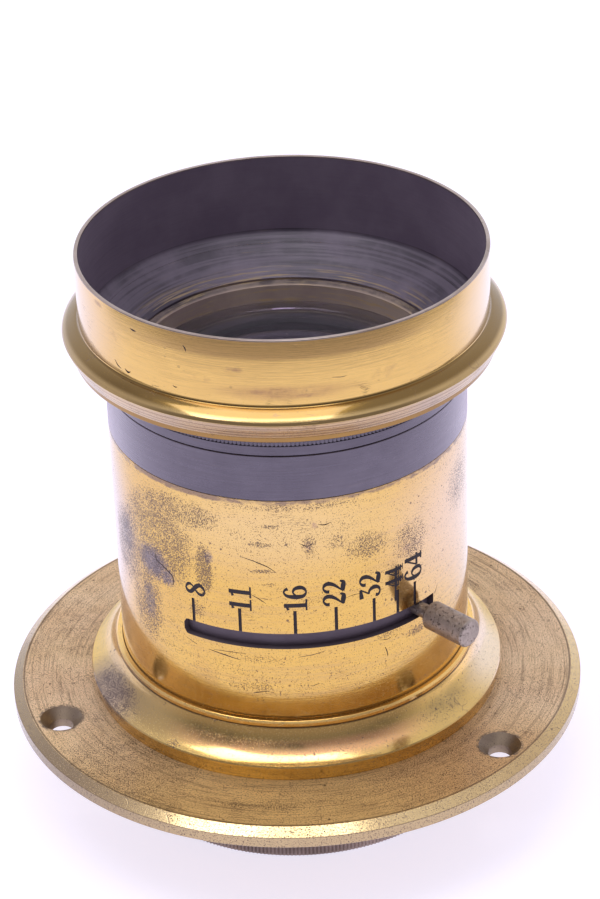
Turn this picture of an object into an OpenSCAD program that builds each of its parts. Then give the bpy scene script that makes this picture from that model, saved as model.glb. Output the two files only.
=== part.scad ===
// Brass portrait lens: a large rapid-rectilinear objective on a wood-screw flange,
// with a deep front hood, two black screw-in cells and an iris worked by a side lever.
// Millimetres. Origin at the bottom centre of the rear cell, +Z up the optical axis,
// the engraved stop scale faces -Y.

/* [Mounting flange] */
// Radius of the flange plate
flange_r = 48.5; // [46.5:0.5:52]
// Thickness of the flange plate
flange_t = 3.0; // [2.6:0.1:3.4]
// Width of the polished chamfer round the flange
flange_chamfer_w = 1.6; // [0.8:0.1:2]
// Radius of the circle the three wood-screw holes lie on
screw_circle_r = 42.4; // [41:0.1:43.5]
// Radius of each screw hole
screw_hole_r = 1.95; // [1.6:0.05:2.4]
// Radius of each countersink
countersink_r = 3.5; // [3:0.1:3.8]

/* [Shoulder ring] */
// Radius of the sharp lower edge of the moulding
bead_r = 34.95; // [34.8:0.05:35.6]
// Radius of the upright band under the moulding
band_r = 34.6; // [34.1:0.05:34.7]

/* [Barrel] */
// Outer radius of the barrel tube and the black collar
barrel_r = 29.3; // [29.2:0.05:29.5]
// Height of the top edge of the barrel tube
barrel_top_z = 68.2; // [67.5:0.1:69]
// Height of the lever slot
slot_h = 2.9; // [2.6:0.1:3.1]
// Depth of the engraved scale lines
scale_depth = 0.12; // [0.05:0.01:0.2]

/* [Hood] */
// Outer radius of the hood wall
hood_r = 33.0; // [32.9:0.05:33.4]
// Wall thickness of the hood
hood_wall = 0.7; // [0.6:0.05:0.8]
// Height of the hood rim above the table
hood_top_z = 98.4; // [94:0.2:104]
// Radius of the flared ring at the foot of the hood
ring_r = 35.7; // [35.5:0.1:36.4]

/* [Cells] */
// Number of knurl teeth round the front cell
front_teeth = 280; // [240:10:340]
// Number of knurl teeth round the rear cell
rear_teeth = 300; // [240:10:320]
// Outer radius of the rear cell knurl
rear_knurl_r = 31.0; // [30.8:0.05:31.4]

/* [Iris] */
// Thickness of each iris leaf
leaf_t = 0.1; // [0.08:0.01:0.12]
// Radius of the pivot and drive studs of each leaf
stud_r = 0.4; // [0.3:0.02:0.4]
// Radius of the lever knob
knob_r = 2.4; // [2:0.05:2.5]
// Length of the lever knob
knob_l = 8.4; // [6:0.1:9]

/* [Hidden] */
$fn = 96;
eps = 0.01;

// Heights up the axis
flange_back_z = 15.7;
flange_top_z = flange_back_z + flange_t;
barrel_low_z = 9.1;
iris_seat_z = 35.6;
collar_top_z = 76.2;
knurl_low_z = 78;
cell_nose_z = 80.6;
stop_z = 42.05;

// Radii of the bores
stop_bore_r = 28.2;
lower_bore_r = 27.0;
collar_bore_r = 27.0;
glass_r = 24.8;
glass_bore_r = 24.85;
ring_bore_r = 25.25;

// Glass surfaces: radii of curvature and centre thicknesses
outer_curve = 66;
cement_curve = 48;
inner_curve = 80;
flint_t = 2.2;
crown_t = 4.6;
cement_gap = 0.02;
front_edge_z = 75.1;
front_vertex_z = front_edge_z + outer_curve - sqrt(pow(outer_curve, 2) - pow(glass_r, 2));

// Iris: sixteen leaves, each pinned outside its own sweep
leaf_count = 16;
leaf_step = 360 / leaf_count;
leaf_inner_r = 20.4;
leaf_outer_r = 26.4;
leaf_pitch = 0.15;
leaf_base_z = 37.25;
pivot_circle_r = 27.2;
stud_circle_r = 25.2;
open_to_rest = 78.4;
lever_rest = 43.8;
full_travel = 82;
leaf_ratio = 0.48;
leaf_rest = leaf_ratio * open_to_rest;
half_swing = leaf_ratio * full_travel / 2;
stud_span = pivot_circle_r * cos(half_swing)
          + sqrt(pow(stud_circle_r, 2) - pow(pivot_circle_r * sin(half_swing), 2));
leaf_span = 180 - asin(stud_span * sin(half_swing) / stud_circle_r);
base_ring_top_z = 37.2;
drive_low_z = 39.75;
drive_top_z = 44.2;
groove_depth = 1.0;
free_levels = 6;

// Scale lines: angle round the barrel of each stop, measured from -Y towards +X
scale_angles = [-33.5, -17.4, 0, 12.9, 25.6, 34.3, 41.4];
slot_from = -37.5;
slot_to = 50.2;

// Turns a closed radius-height outline round the optical axis.
module turned(points) {
    rotate_extrude() polygon(points);
}

// A plain ring between two radii and two heights.
module ring(outer, inner, low, high) {
    translate([0, 0, low])
        difference() {
            cylinder(r = outer, h = high - low);
            translate([0, 0, -1]) cylinder(r = inner, h = high - low + 2);
        }
}

// A ring whose edge is cut into fine straight teeth.
function tooth_outline(r, depth, teeth) =
    [for (i = [0 : 2 * teeth - 1])
        let (a = i * 180 / teeth, q = i % 2 == 0 ? r : r - depth)
        [q * cos(a), q * sin(a)]];

module knurled_ring(outer, inner, low, high, teeth, depth) {
    translate([0, 0, low])
        linear_extrude(high - low)
            difference() {
                polygon(tooth_outline(outer, depth, teeth));
                circle(r = inner);
            }
}

// A bar pointing outwards from the axis at an angle measured from -Y towards +X.
module at_angle(a) {
    rotate([0, 0, a - 90]) children();
}

// The hood: thin wall, cove, flared ring with rounded lip and a threaded foot.
module lens_hood() {
    inner = hood_r - hood_wall;
    rim = hood_top_z;
    color("goldenrod")
        rotate_extrude()
            difference() {
                union() {
                    // wall with a softened rim
                    polygon([[inner, 84], [hood_r, 84], [hood_r, rim - 0.2],
                             [hood_r - 0.2, rim], [inner + 0.2, rim], [inner, rim - 0.2]]);
                    // flared ring: domed top, sharp edge, tapered underside and lip
                    polygon(concat([[30.65, 80.6], [32.3, 80.75], [33.8, 81.3], [34.15, 81.6],
                                    [34.3, 82.4], [ring_r - 0.12, 84.95], [ring_r, 85.2]],
                                   [for (i = [0:8]) let (a = 46.6 + 2.5 * i)
                                    [ring_r - 5.01 + 7.07 * cos(a), 80.41 + 7.07 * sin(a)]],
                                   [[hood_r, 87.0], [hood_r, 87.3], [inner, 87.3],
                                    [inner, 84.6], [30.65, 83.27]]));
                }
                // cove where the wall meets the ring
                translate([hood_r + 0.5, 87.4]) circle(r = 0.5);
            }
}

// Front cell: knurled edge, threaded nose, funnel and spigot that hold the front glass.
module front_cell() {
    color("dimgray") {
        difference() {
            union() {
                knurled_ring(barrel_r - 0.03, 26, knurl_low_z - 0.4, cell_nose_z - 0.5, front_teeth, 0.22);
                ring(barrel_r, 26, collar_top_z + 0.16, knurl_low_z);
                ring(barrel_r - 0.3, 26, collar_top_z + 0.02, cell_nose_z);
                turned([[25, 78], [30.6, 78 + 2.6], [30.6, 83.2], [25, 83.2]]);
                ring(collar_bore_r - 0.05, 24, 67.6, collar_top_z + 1);
            }
            // funnel, ring bore, glass bore and the opening under the seat
            turned([[0, 60], [23.2, 60], [23.2, 69.15], [glass_bore_r, 69.15],
                    [glass_bore_r, 75.12], [ring_bore_r, 75.12], [ring_bore_r, 79.25],
                    [30.35, 83.2], [30.35, 84], [0, 84]]);
        }
    }
}

// Threaded ring that keeps the front glass in its cell.
module front_retaining_ring() {
    color("darkkhaki")
        turned([[24.0, 75.47], [24.8, 75.15], [25.2, 75.15], [25.2, 78.9],
                [24.5, 78.9], [24.0, 78.4]]);
}

// Outer (flint) lens of a cemented pair, vertex at the origin and facing up.
module flint_pair_half() {
    difference() {
        intersection() {
            translate([0, 0, -outer_curve]) sphere(r = outer_curve);
            translate([0, 0, -14]) cylinder(r = glass_r, h = 20);
        }
        translate([0, 0, -flint_t - cement_curve]) sphere(r = cement_curve);
    }
}

// Inner (crown) lens of a cemented pair, in the place it has behind the flint.
module crown_pair_half() {
    difference() {
        intersection() {
            translate([0, 0, -flint_t - cement_curve]) sphere(r = cement_curve - cement_gap);
            translate([0, 0, -16]) cylinder(r = glass_r, h = 20);
        }
        translate([0, 0, -flint_t - crown_t - inner_curve]) sphere(r = inner_curve);
    }
}

module front_flint_element() {
    color("lightcyan") translate([0, 0, front_vertex_z]) flint_pair_half();
}

module front_crown_element() {
    color("azure") translate([0, 0, front_vertex_z]) crown_pair_half();
}

// Black band between barrel and front cell, screwed into the barrel.
module front_collar() {
    color("slategray")
        turned([[collar_bore_r, 63.5], [28.15, 63.5], [28.15, barrel_top_z + 0.02],
                [barrel_r, barrel_top_z + 0.02], [barrel_r, collar_top_z - 0.15],
                [barrel_r - 0.15, collar_top_z], [collar_bore_r, collar_top_z]]);
}

// Barrel tube with the lever slot, the seat for the iris and the scale lines.
module barrel_tube() {
    color("gold")
        difference() {
            turned([[lower_bore_r, barrel_low_z], [barrel_r - 0.3, barrel_low_z],
                    [barrel_r, barrel_low_z + 0.3], [barrel_r, barrel_top_z],
                    [stop_bore_r, barrel_top_z], [stop_bore_r, iris_seat_z],
                    [lower_bore_r, iris_seat_z]]);
            // slot the lever travels in
            at_angle(slot_from)
                translate([0, 0, stop_z - slot_h / 2])
                    rotate_extrude(angle = slot_to - slot_from)
                        translate([27, 0]) square([4, slot_h]);
            // engraved scale lines
            for (a = scale_angles)
                at_angle(a)
                    translate([barrel_r - scale_depth, -0.27, stop_z + slot_h / 2 - eps])
                        cube([1, 0.54, 4.35]);
        }
}

// Moulded ring at the foot of the barrel with the boss that screws into the flange.
module shoulder_ring() {
    z = flange_top_z;
    inner = barrel_r + 0.02;
    // hollow moulding, from its sharp lower edge up to the groove under the step
    cove = [for (i = [0:24]) let (a = 250 - 50 * i / 24)
            [bead_r + 2.53 + 7.53 * cos(a), z + 9.78 + 7.53 * sin(a)]];
    color("goldenrod")
        // boss, upright band, cove, and the narrow step beside the barrel
        turned(concat([[inner, flange_back_z], [33, flange_back_z], [33, z], [band_r, z],
                       [band_r, z + 2.35], [bead_r, z + 2.6]], cove,
                      [[30.22, z + 7.3], [30.4, z + 7.42], [30.4, z + 8.1], [30.1, z + 8.4],
                       [inner, z + 8.4]]));
}

// Flange plate with a polished chamfer and three countersunk holes.
module mounting_flange() {
    color("darkgoldenrod")
        difference() {
            turned([[33.05, flange_back_z], [flange_r - 0.2, flange_back_z],
                    [flange_r, flange_back_z + 0.2], [flange_r, flange_top_z - 1.1],
                    [flange_r - flange_chamfer_w, flange_top_z], [33.05, flange_top_z]]);
            for (a = [-69.4, 50.6, 170.6])
                at_angle(a)
                    translate([screw_circle_r, 0, 0]) {
                        translate([0, 0, flange_back_z - 1])
                            cylinder(r = screw_hole_r, h = flange_t + 2);
                        translate([0, 0, flange_top_z - (countersink_r - screw_hole_r)])
                            cylinder(r1 = screw_hole_r, r2 = countersink_r + 0.5,
                                     h = countersink_r - screw_hole_r + 0.5);
                    }
        }
}

// Angle round +X of the pivot of leaf i.
function pivot_angle(i) = (i - 1) * leaf_step;
// Height of the underside of leaf i.
function leaf_z(i) = leaf_base_z + (leaf_count - i) * leaf_pitch;

// Fixed ring under the leaves, bored for their pivot studs.
module iris_base_ring() {
    color("darkslategray")
        difference() {
            ring(28.15, 20.6, iris_seat_z, base_ring_top_z);
            for (i = [1 : leaf_count])
                rotate([0, 0, pivot_angle(i)])
                    translate([pivot_circle_r, 0, iris_seat_z - 1])
                        cylinder(r = stud_r + 0.02, h = 4);
        }
}

// One leaf in its rest position: crescent, pivot tab and the two studs.
module iris_leaf(i) {
    reach = i <= free_levels ? drive_low_z + groove_depth - 0.2
                             : leaf_z(i) + free_levels * leaf_pitch - 0.05;
    rotate([0, 0, pivot_angle(i)])
        translate([pivot_circle_r, 0, 0])
            rotate([0, 0, leaf_rest])
                translate([-pivot_circle_r, 0, leaf_z(i)]) {
                    // crescent
                    rotate_extrude(angle = leaf_span)
                        translate([leaf_inner_r, 0]) square([leaf_outer_r - leaf_inner_r, leaf_t]);
                    // tab and pivot stud, down into the base ring
                    translate([pivot_circle_r, 0, 0]) cylinder(r = 0.75, h = leaf_t);
                    translate([25, 0, 0]) cube([2.2, 0.75, leaf_t]);
                    translate([pivot_circle_r, 0, iris_seat_z + 0.3 - leaf_z(i)])
                        cylinder(r = stud_r, h = leaf_z(i) + leaf_t - iris_seat_z - 0.3);
                    // rounded head and drive stud, up towards the drive ring
                    rotate([0, 0, leaf_span])
                        translate([stud_circle_r, 0, 0]) {
                            cylinder(r = 0.9, h = leaf_t);
                            cylinder(r = stud_r, h = reach - leaf_z(i));
                        }
                }
}

module iris_leaf_01() { color("steelblue") iris_leaf(1); }
module iris_leaf_02() { color("slategray") iris_leaf(2); }
module iris_leaf_03() { color("steelblue") iris_leaf(3); }
module iris_leaf_04() { color("slategray") iris_leaf(4); }
module iris_leaf_05() { color("steelblue") iris_leaf(5); }
module iris_leaf_06() { color("slategray") iris_leaf(6); }
module iris_leaf_07() { color("steelblue") iris_leaf(7); }
module iris_leaf_08() { color("slategray") iris_leaf(8); }
module iris_leaf_09() { color("steelblue") iris_leaf(9); }
module iris_leaf_10() { color("slategray") iris_leaf(10); }
module iris_leaf_11() { color("steelblue") iris_leaf(11); }
module iris_leaf_12() { color("slategray") iris_leaf(12); }
module iris_leaf_13() { color("steelblue") iris_leaf(13); }
module iris_leaf_14() { color("slategray") iris_leaf(14); }
module iris_leaf_15() { color("steelblue") iris_leaf(15); }
module iris_leaf_16() { color("slategray") iris_leaf(16); }

// Turning ring above the leaves: radial grooves underneath, tapped hole for the lever.
module iris_drive_ring() {
    color("gray")
        difference() {
            ring(28.1, 20.6, drive_low_z, drive_top_z);
            for (i = [1 : leaf_count])
                rotate([0, 0, pivot_angle(i) + leaf_span + open_to_rest])
                    translate([0, 0, drive_low_z - 1]) {
                        translate([22.32, 0, 0]) cylinder(r = 0.98, h = groove_depth + 1);
                        translate([24.77, 0, 0]) cylinder(r = 0.98, h = groove_depth + 1);
                        translate([22.32, -0.98, 0]) cube([2.45, 1.96, groove_depth + 1]);
                    }
            at_angle(lever_rest)
                translate([24.4, 0, stop_z])
                    rotate([0, 90, 0]) cylinder(r = 0.95, h = 6);
        }
}

// Lever: screw end in the drive ring, neck through the slot, plain round knob.
module iris_lever() {
    color("rosybrown")
        at_angle(lever_rest)
            translate([0, 0, stop_z])
                rotate([0, 90, 0])
                    turned([[0, 24.6], [0.9, 24.6], [0.9, 28.12], [1.2, 28.12],
                            [1.2, 31.7], [knob_r - 0.3, 31.7], [knob_r, 32.0],
                            [knob_r, 31.7 + knob_l - 0.25], [knob_r - 0.25, 31.7 + knob_l],
                            [0, 31.7 + knob_l + 0.1]]);
}

// Threaded ring that shuts the iris in, with two key slots.
module iris_cover_ring() {
    color("darkslategray")
        difference() {
            ring(28.15, 20.8, drive_top_z + 0.08, drive_top_z + 2.1);
            for (a = [0, 180])
                rotate([0, 0, a])
                    translate([19, -0.75, drive_top_z + 1.2]) cube([5, 1.5, 3]);
        }
}

// Rear cell: knurled foot the lens stands on, spigot into the barrel.
module rear_cell() {
    color("dimgray")
        difference() {
            union() {
                knurled_ring(rear_knurl_r, 26, 0.5, 6.0, rear_teeth, 0.26);
                turned([[25, 0], [rear_knurl_r - 0.75, 0], [rear_knurl_r - 0.28, 0.45],
                        [rear_knurl_r - 0.28, 6.0], [30.2, 6.5], [30.2, barrel_low_z - 0.02],
                        [25, barrel_low_z - 0.02]]);
                ring(lower_bore_r - 0.05, 24, 2, 16.4);
            }
            // rear funnel, ring bore, glass bore and the opening above the seat
            turned([[0, -1], [28.2, -1], [28.2, 0], [ring_bore_r, 4.6],
                    [ring_bore_r, 84 - 75.12], [glass_bore_r, 84 - 75.12],
                    [glass_bore_r, 84 - 69.15], [23.2, 84 - 69.15], [23.2, 20], [0, 20]]);
        }
}

// Threaded ring that keeps the rear glass in its cell, with two key slots.
module rear_retaining_ring() {
    color("darkkhaki")
        difference() {
            turned([[24.0, 5.6], [24.5, 5.1], [25.2, 5.1], [25.2, 8.85], [24.8, 8.85],
                    [24.0, 8.53]]);
            for (a = [0, 180])
                rotate([0, 0, a]) translate([22, -0.75, 4]) cube([5, 1.5, 2.1]);
        }
}

module rear_crown_element() {
    color("azure")
        translate([0, 0, 84 - front_vertex_z]) mirror([0, 0, 1]) crown_pair_half();
}

module rear_flint_element() {
    color("lightcyan")
        translate([0, 0, 84 - front_vertex_z]) mirror([0, 0, 1]) flint_pair_half();
}

lens_hood();
front_cell();
front_retaining_ring();
front_flint_element();
front_crown_element();
front_collar();
barrel_tube();
shoulder_ring();
mounting_flange();
iris_base_ring();
iris_drive_ring();
iris_lever();
iris_cover_ring();
iris_leaf_01();
iris_leaf_02();
iris_leaf_03();
iris_leaf_04();
iris_leaf_05();
iris_leaf_06();
iris_leaf_07();
iris_leaf_08();
iris_leaf_09();
iris_leaf_10();
iris_leaf_11();
iris_leaf_12();
iris_leaf_13();
iris_leaf_14();
iris_leaf_15();
iris_leaf_16();
rear_cell();
rear_retaining_ring();
rear_crown_element();
rear_flint_element();
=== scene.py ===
"""Brass portrait lens: high-resolution turned parts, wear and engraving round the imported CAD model."""
import math

import bmesh
import bpy
from mathutils import Matrix, Vector


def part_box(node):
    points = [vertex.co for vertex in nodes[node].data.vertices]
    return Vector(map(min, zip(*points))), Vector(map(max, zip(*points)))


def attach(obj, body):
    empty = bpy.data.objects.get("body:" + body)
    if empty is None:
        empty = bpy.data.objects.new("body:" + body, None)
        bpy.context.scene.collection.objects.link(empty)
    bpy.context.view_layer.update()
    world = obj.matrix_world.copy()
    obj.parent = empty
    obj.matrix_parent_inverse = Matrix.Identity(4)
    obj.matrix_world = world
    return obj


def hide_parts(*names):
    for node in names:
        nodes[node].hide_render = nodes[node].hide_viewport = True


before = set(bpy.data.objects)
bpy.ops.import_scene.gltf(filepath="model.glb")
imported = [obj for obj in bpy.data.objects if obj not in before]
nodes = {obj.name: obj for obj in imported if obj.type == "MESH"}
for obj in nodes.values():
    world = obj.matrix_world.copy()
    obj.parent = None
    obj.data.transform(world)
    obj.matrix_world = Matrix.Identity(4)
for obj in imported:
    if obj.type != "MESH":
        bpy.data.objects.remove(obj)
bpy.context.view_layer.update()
scene = bpy.context.scene

MM = 0.001
SEGMENTS = 384
JOINT_GAP = 0.02            # clearance between screwed parts, mm

# ---------------- camera
camera_data = bpy.data.cameras.new("camera")
camera = bpy.data.objects.new("camera", camera_data)
scene.collection.objects.link(camera)
camera.location = (0.0, -0.43009, 0.31148)
camera.rotation_euler = tuple(math.radians(a) for a in (59.698, 1.690, -1.228))
camera_data.sensor_width = 36
camera_data.lens = 121.21
camera_data.clip_start = 0.01
camera_data.clip_end = 20
camera_data.dof.use_dof = False
scene.camera = camera

# ---------------- driving dimensions, mm
z_of = {n: tuple(c.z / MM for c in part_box(n)) for n in nodes}
r_of = {n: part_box(n)[1].x / MM for n in nodes}
hood_r, hood_wall, rim_z = 33.0, 0.7, z_of["lens_hood"][1]
ring_r = r_of["lens_hood"]
barrel_r, barrel_top = r_of["barrel_tube"], z_of["barrel_tube"][1]
barrel_low, iris_seat = z_of["barrel_tube"][0], z_of["iris_base_ring"][0]
stop_z, slot_h, slot_from, slot_to = 42.05, 2.9, -37.5, 50.2
slot_top, slot_bottom = stop_z + slot_h / 2, stop_z - slot_h / 2
collar_top = z_of["front_collar"][1]
nose_z, nose_top, nose_r = 80.6, 83.2, 30.6
flange_low, flange_top = z_of["mounting_flange"]
flange_r = r_of["mounting_flange"]
cove_edge_r, band_r, step_r, step_top = 34.95, 34.6, 30.4, flange_top + 8.4
screw_circle, screw_r, sink_r = 42.4, 1.95, 3.5
screw_angles = (-69.4, 50.6, 170.6)
lever_angle, knob_r, knob_end = 43.8, 2.4, 40.1
tube_bore_r, iris_bore_r = 27.0, 28.2           # bore of the barrel, and the wider bore over the iris seat
lip_r, glass_seat_r, ring_seat_r, screwed_r = 23.2, 24.85, 25.25, 26.95     # both cells
stops = (("8", -33.5), ("11", -17.4), ("16", 0.0), ("22", 12.9), ("32", 25.6), ("44", 34.3), ("64", 41.4))


# ---------------- turned shapes
def around(angle, radius, z):
    """The point at an angle in degrees from -Y, which the engraved scale faces."""
    a = math.radians(angle)
    return (radius * math.sin(a), -radius * math.cos(a), z)


def arc(cr, cz, radius, start, end, steps):
    """Points on a circle in the radius-height plane, angles in degrees."""
    return [(cr + radius * math.cos(math.radians(start + (end - start) * i / steps)),
             cz + radius * math.sin(math.radians(start + (end - start) * i / steps)))
            for i in range(steps + 1)]


def rounded(points, steps=4):
    """A closed outline whose (r, z, radius) corners are rounded off."""
    out, n = [], len(points)
    for i, p in enumerate(points):
        if len(p) < 3:
            out.append(tuple(p))
            continue
        here = Vector(p[:2])
        back, ahead = Vector(points[i - 1][:2]) - here, Vector(points[(i + 1) % n][:2]) - here
        half = back.angle(ahead) / 2
        reach = min(p[2] / math.tan(half), back.length * 0.49, ahead.length * 0.49)
        radius = reach * math.tan(half)
        middle = here + (back.normalized() + ahead.normalized()).normalized() * radius / math.sin(half)
        a, b = here + back.normalized() * reach - middle, here + ahead.normalized() * reach - middle
        turn = a.angle_signed(b)
        for k in range(steps + 1):
            t = -turn * k / steps
            out.append((middle.x + a.x * math.cos(t) - a.y * math.sin(t),
                        middle.y + a.x * math.sin(t) + a.y * math.cos(t)))
    return out


def outline_normals(points):
    """Outward normals at both ends of each edge of a closed outline; long edges win at smooth joints."""
    n = len(points)
    edges = [(points[(i + 1) % n][0] - points[i][0], points[(i + 1) % n][1] - points[i][1]) for i in range(n)]
    sizes = [max(math.hypot(*e), 1e-9) for e in edges]
    flat = [(e[1] / s, -e[0] / s) for e, s in zip(edges, sizes)]

    def blend(i, j):
        a, b = flat[i], flat[j]
        if a[0] * b[0] + a[1] * b[1] < math.cos(math.radians(32)):
            return None
        wa, wb = sizes[i] ** 2, sizes[j] ** 2
        x, y = a[0] * wa + b[0] * wb, a[1] * wa + b[1] * wb
        length = math.hypot(x, y)
        return (x / length, y / length)
    joints = [blend(i - 1, i) for i in range(n)]
    return [(joints[i] or flat[i], joints[(i + 1) % n] or flat[i]) for i in range(n)]


def new_object(name, mesh, materials):
    obj = bpy.data.objects.new(name, mesh)
    scene.collection.objects.link(obj)
    for m in materials:
        mesh.materials.append(m)
    return obj


def turned(name, outline, materials, zone=None, segments=SEGMENTS, teeth=None):
    """Turns a closed outline (mm) round the axis, with exact shading normals.

    zone(r, z) gives the material index of an edge. teeth = (low, high, depth, radius) cuts every second
    column of the outline points that lie between those heights on that radius."""
    points = rounded(outline)
    area = sum(points[i - 1][0] * p[1] - p[0] * points[i - 1][1] for i, p in enumerate(points))
    if area < 0:
        points.reverse()
    normals = outline_normals(points)
    n = len(points)
    cut = [False] * n
    if teeth:
        low, high, depth, at_r = teeth
        cut = [low - 1e-6 <= z <= high + 1e-6 and r > at_r - 1e-6 for r, z in points]
    spin = [around(360 * i / segments, 1, 0)[:2] for i in range(segments)]
    verts = []
    for i, (sx, sy) in enumerate(spin):
        for k, (r, z) in enumerate(points):
            if cut[k] and i % 2:
                r -= depth
            verts.append((r * sx * MM, r * sy * MM, z * MM))
    faces, corner_normals, slots = [], [], []
    for k in range(n):
        k2 = (k + 1) % n
        (a, az), (b, bz) = normals[k]
        if points[k][0] < 1e-6 and points[k2][0] < 1e-6:
            continue
        centre = ((points[k][0] + points[k2][0]) / 2, (points[k][1] + points[k2][1]) / 2)
        index = zone(*centre) if zone else 0
        for i in range(segments):
            j = (i + 1) % segments
            quad = [i * n + k, j * n + k, j * n + k2, i * n + k2]
            if points[k][0] < 1e-6:
                quad = [k, j * n + k2, i * n + k2]
                rows = [((spin[i][0] + spin[j][0]) / 2, (spin[i][1] + spin[j][1]) / 2, a, az),
                        (*spin[j], b, bz), (*spin[i], b, bz)]
            elif points[k2][0] < 1e-6:
                quad = [i * n + k, j * n + k, k2]
                rows = [(*spin[i], a, az), (*spin[j], a, az),
                        ((spin[i][0] + spin[j][0]) / 2, (spin[i][1] + spin[j][1]) / 2, b, bz)]
            else:
                rows = [(*spin[i], a, az), (*spin[j], a, az), (*spin[j], b, bz), (*spin[i], b, bz)]
            faces.append(quad)
            slots.append(index)
            if cut[k] and cut[k2]:
                face = (Vector(verts[quad[1]]) - Vector(verts[quad[0]])).cross(
                    Vector(verts[quad[3]]) - Vector(verts[quad[0]])).normalized()
                corner_normals += [tuple(face)] * 4
            else:
                corner_normals += [(x * c, y * c, s) for x, y, c, s in rows]
    mesh = bpy.data.meshes.new(name)
    mesh.from_pydata(verts, [], faces)
    mesh.polygons.foreach_set("material_index", slots)
    mesh.polygons.foreach_set("use_smooth", [True] * len(faces))
    mesh.update()
    mesh.normals_split_custom_set(corner_normals)
    obj = new_object(name, mesh, materials)
    obj["outline"] = [c for p in points for c in p]
    return obj


def spun_to(obj, angle, height):
    """Turns a part built round the vertical axis so that it points outwards at an angle from -Y."""
    outward = math.radians(angle - 90)
    obj.data.transform(Matrix.Translation((0, 0, height * MM)) @ Matrix.Rotation(outward, 4, "Z")
                       @ Matrix.Rotation(math.radians(90), 4, "Y"))


def cut_by(obj, cutters):
    """Cuts the part, then puts the turned surfaces' exact normals back."""
    points = [tuple(obj["outline"][i:i + 2]) for i in range(0, len(obj["outline"]), 2)]
    for cutter in cutters:
        m = obj.modifiers.new("cut", "BOOLEAN")
        m.operation, m.object, m.solver = "DIFFERENCE", cutter, "EXACT"
        m.material_mode = "TRANSFER"
    made = bpy.data.meshes.new_from_object(obj.evaluated_get(bpy.context.evaluated_depsgraph_get()))
    obj.modifiers.clear()
    for cutter in cutters:
        bpy.data.objects.remove(cutter)
    obj.data = made
    following = points[1:] + points[:1]
    edges = [(Vector(a), Vector(b), n) for a, b, n in zip(points, following, outline_normals(points))]
    out = []
    for face in made.polygons:
        c, fn = face.center, face.normal
        rc = math.hypot(c.x, c.y)
        side = (fn.x * c.x + fn.y * c.y) / max(rc, 1e-9)
        here, flat = Vector((rc / MM, c.z / MM)), Vector((side, fn.z))
        best = None
        for a, b, ends in edges:
            along = b - a
            t = min(1, max(0, (here - a).dot(along) / max(along.length_squared, 1e-12)))
            off = (a + along * t - here).length
            outward = Vector((along.y, -along.x)).normalized()
            if off < 0.03 and outward.dot(flat) > 0.97 and (best is None or off < best[0]):
                best = (off, a, along, ends)
        for v in face.vertices:
            p = made.vertices[v].co
            if best is None:
                out.append(tuple(fn))
                continue
            r = math.hypot(p.x, p.y)
            _, a, along, (na, nb) = best
            t = min(1, max(0, (Vector((r / MM, p.z / MM)) - a).dot(along) / max(along.length_squared, 1e-12)))
            nr, nz = na[0] * (1 - t) + nb[0] * t, na[1] * (1 - t) + nb[1] * t
            out.append(tuple(Vector((nr * p.x / r, nr * p.y / r, nz)).normalized()))
    made.polygons.foreach_set("use_smooth", [True] * len(made.polygons))
    made.update()
    made.normals_split_custom_set(out)
    return obj


def closed_mesh(name, points, faces):
    """A mesh from points in mm, with its faces turned outwards."""
    mesh = bpy.data.meshes.new(name)
    mesh.from_pydata([tuple(c * MM for c in p) for p in points], [], faces)
    bm = bmesh.new()
    bm.from_mesh(mesh)
    bmesh.ops.recalc_face_normals(bm, faces=bm.faces)
    bm.to_mesh(mesh)
    bm.free()
    return mesh


def block(name, rings, material):
    """A closed cutter through rings that have the same number of corners."""
    n, last = len(rings[0]), len(rings) - 1
    faces = [[i * n + k, i * n + (k + 1) % n, (i + 1) * n + (k + 1) % n, (i + 1) * n + k]
             for i in range(last) for k in range(n)]
    faces += [list(range(n))[::-1], [last * n + k for k in range(n)]]
    return new_object(name, closed_mesh(name, [p for ring in rings for p in ring], faces), [material])


# ---------------- strokes laid on a turned surface
def curve_through(points, steps=8):
    """Catmull-Rom through (u, v, width) points."""
    if len(points) == 2:
        return [tuple(a + (b - a) * k / 4 for a, b in zip(*points)) for k in range(5)]
    ends = [points[0], *points, points[-1]]
    out = []
    for i in range(1, len(ends) - 2):
        p0, p1, p2, p3 = ends[i - 1:i + 3]
        for k in range(steps):
            t = k / steps
            out.append(tuple(0.5 * (2 * b + (c - a) * t + (2 * a - 5 * b + 4 * c - d) * t * t
                                    + (3 * b - a - 3 * c + d) * t ** 3)
                             for a, b, c, d in zip(p0, p1, p2, p3)))
    return out + [tuple(points[-1])]


def inlay(name, strokes, place, material, body, lift=0.012, depth=0.03):
    """Thin filled strokes let into a surface. place(u, v, out) gives the point for a stroke point."""
    verts, faces = [], []
    for number, stroke in enumerate(strokes):
        line = curve_through(stroke)
        first, proud = len(verts), lift + 0.0006 * (number % 5)
        for i, (u, v, w) in enumerate(line):
            a, b = line[max(i - 1, 0)], line[min(i + 1, len(line) - 1)]
            du, dv = b[0] - a[0], b[1] - a[1]
            size = math.hypot(du, dv) or 1
            ou, ov = -dv / size * max(w, 0.01) / 2, du / size * max(w, 0.01) / 2
            for out in (proud, -depth):
                verts.append(place(u + ou, v + ov, out))
                verts.append(place(u - ou, v - ov, out))
        for i in range(len(line) - 1):
            a, b = first + 4 * i, first + 4 * i + 4
            faces += [[a, a + 1, b + 1, b], [a + 2, b + 2, b + 3, a + 3],
                      [a, b, b + 2, a + 2], [a + 1, a + 3, b + 3, b + 1]]
        last = first + 4 * (len(line) - 1)
        faces += [[first, first + 2, first + 3, first + 1], [last, last + 1, last + 3, last + 2]]
    obj = new_object(name, closed_mesh(name, verts, faces), [material])
    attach(obj, body)


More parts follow.
